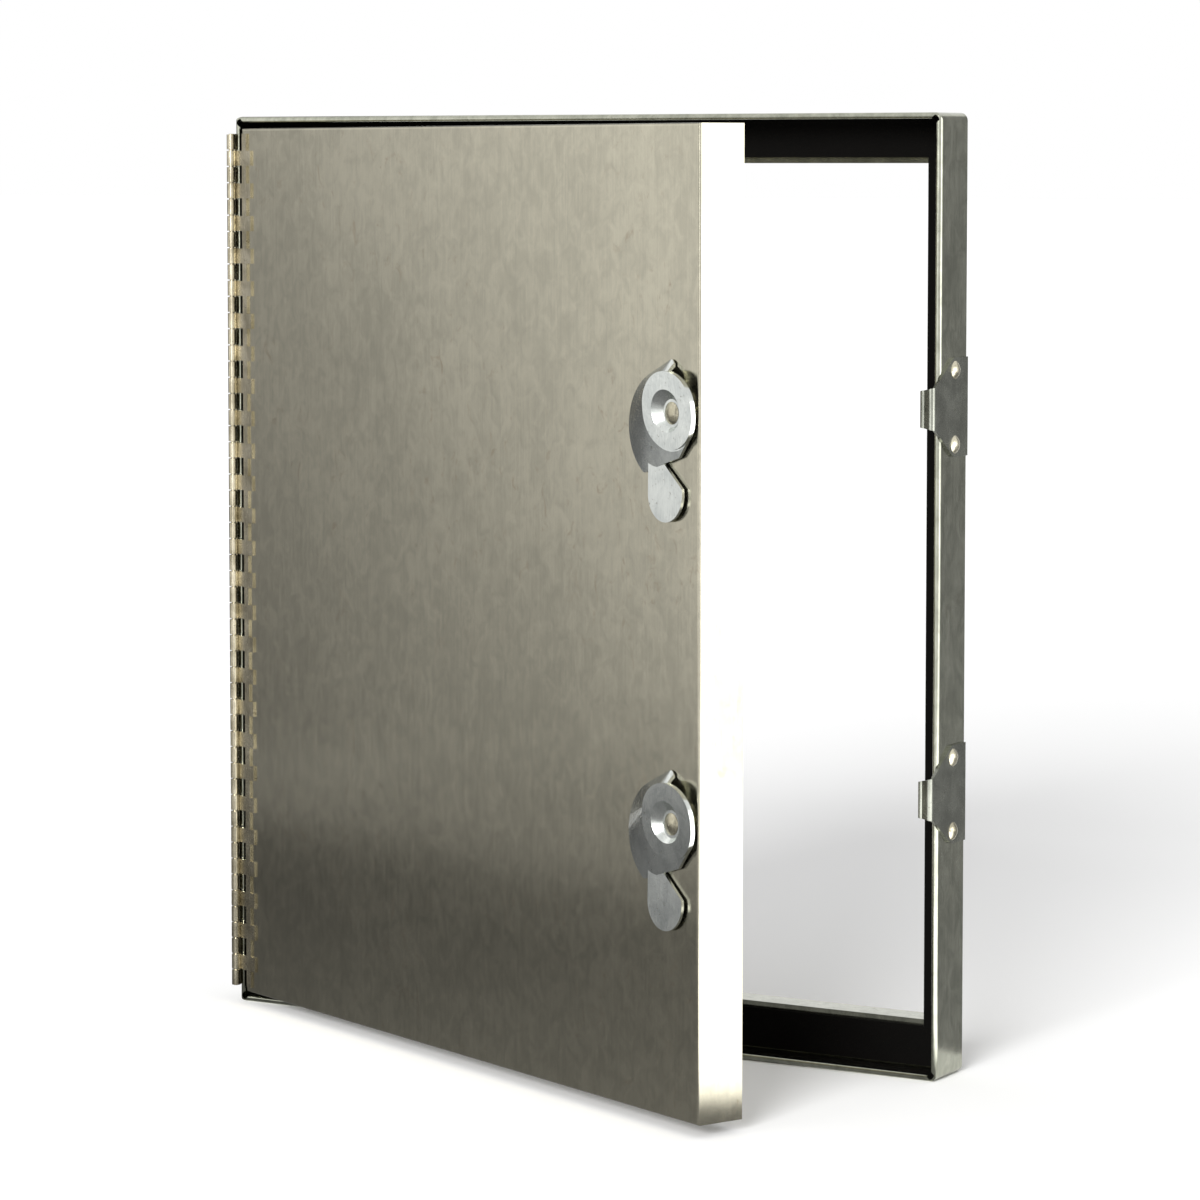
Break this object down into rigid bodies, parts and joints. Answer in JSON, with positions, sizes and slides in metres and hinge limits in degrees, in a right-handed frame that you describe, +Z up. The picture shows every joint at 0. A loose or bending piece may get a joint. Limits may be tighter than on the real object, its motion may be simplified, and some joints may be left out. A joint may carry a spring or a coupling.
{
  "type": "duct access door",
  "caption": "Hinged insulated access door in a gasketed sheet-metal duct frame, with a continuous hinge and turning cam latches that wedge under hooked keepers.",
  "frame": {"origin": "centre of the duct opening, on the back face of the frame's flange, which lies on the duct", "axes": "+Y into the duct, +Z up, so the door faces -Y with its hinge at -X"},
  "size_m": [0.361, 0.1856, 0.4064],
  "materials": {
    "frame_sheet": "galvanised sheet, dull spangle",
    "door_sheet": "galvanised sheet, dull spangle",
    "gasket_foam": "closed-cell foam, black",
    "hinge_steel": "galvanised",
    "latch_zinc": "bright zinc plate",
    "rivet_steel": "zinc plate",
    "insulation": "fibre board"
  },
  "bodies": {
    "frame": {"frame": "frame_sheet", "gasket_top": "gasket_foam", "gasket_bottom": "gasket_foam", "gasket_hinge_side": "gasket_foam", "gasket_latch_side": "gasket_foam", "hinge_frame_leaf": "hinge_steel", "hinge_pin": "hinge_steel", "keeper_upper": "latch_zinc", "keeper_lower": "latch_zinc", "keeper_rivets_upper": "rivet_steel", "keeper_rivets_lower": "rivet_steel"},
    "door": {"door_pan": "door_sheet", "door_back": "door_sheet", "door_insulation": "insulation", "hinge_door_leaf": "hinge_steel", "cam_rivet_upper": "rivet_steel", "cam_rivet_lower": "rivet_steel", "cam_washer_upper": "rivet_steel", "cam_washer_lower": "rivet_steel", "cam_burr_upper": "rivet_steel", "cam_burr_lower": "rivet_steel"},
    "upper_cam": {"cam_upper": "latch_zinc"},
    "lower_cam": {"cam_lower": "latch_zinc"}
  },
  "joints": [
    {"name": "door_swing", "type": "hinge", "parent": "frame", "child": "door", "pos_m": [-0.17825, -0.0277, 0], "axis": [0, 0, -1], "range_deg": [-24, 146]},
    {"name": "upper_cam_turn", "type": "hinge", "parent": "door", "child": "upper_cam", "pos_m": [0.12972, -0.16263, 0.0841], "axis": [0.4067, 0.9135, 0], "range_deg": [0, 70]},
    {"name": "lower_cam_turn", "type": "hinge", "parent": "door", "child": "lower_cam", "pos_m": [0.12972, -0.16263, -0.0789], "axis": [0.4067, 0.9135, 0], "range_deg": [0, 70]}
  ]
}
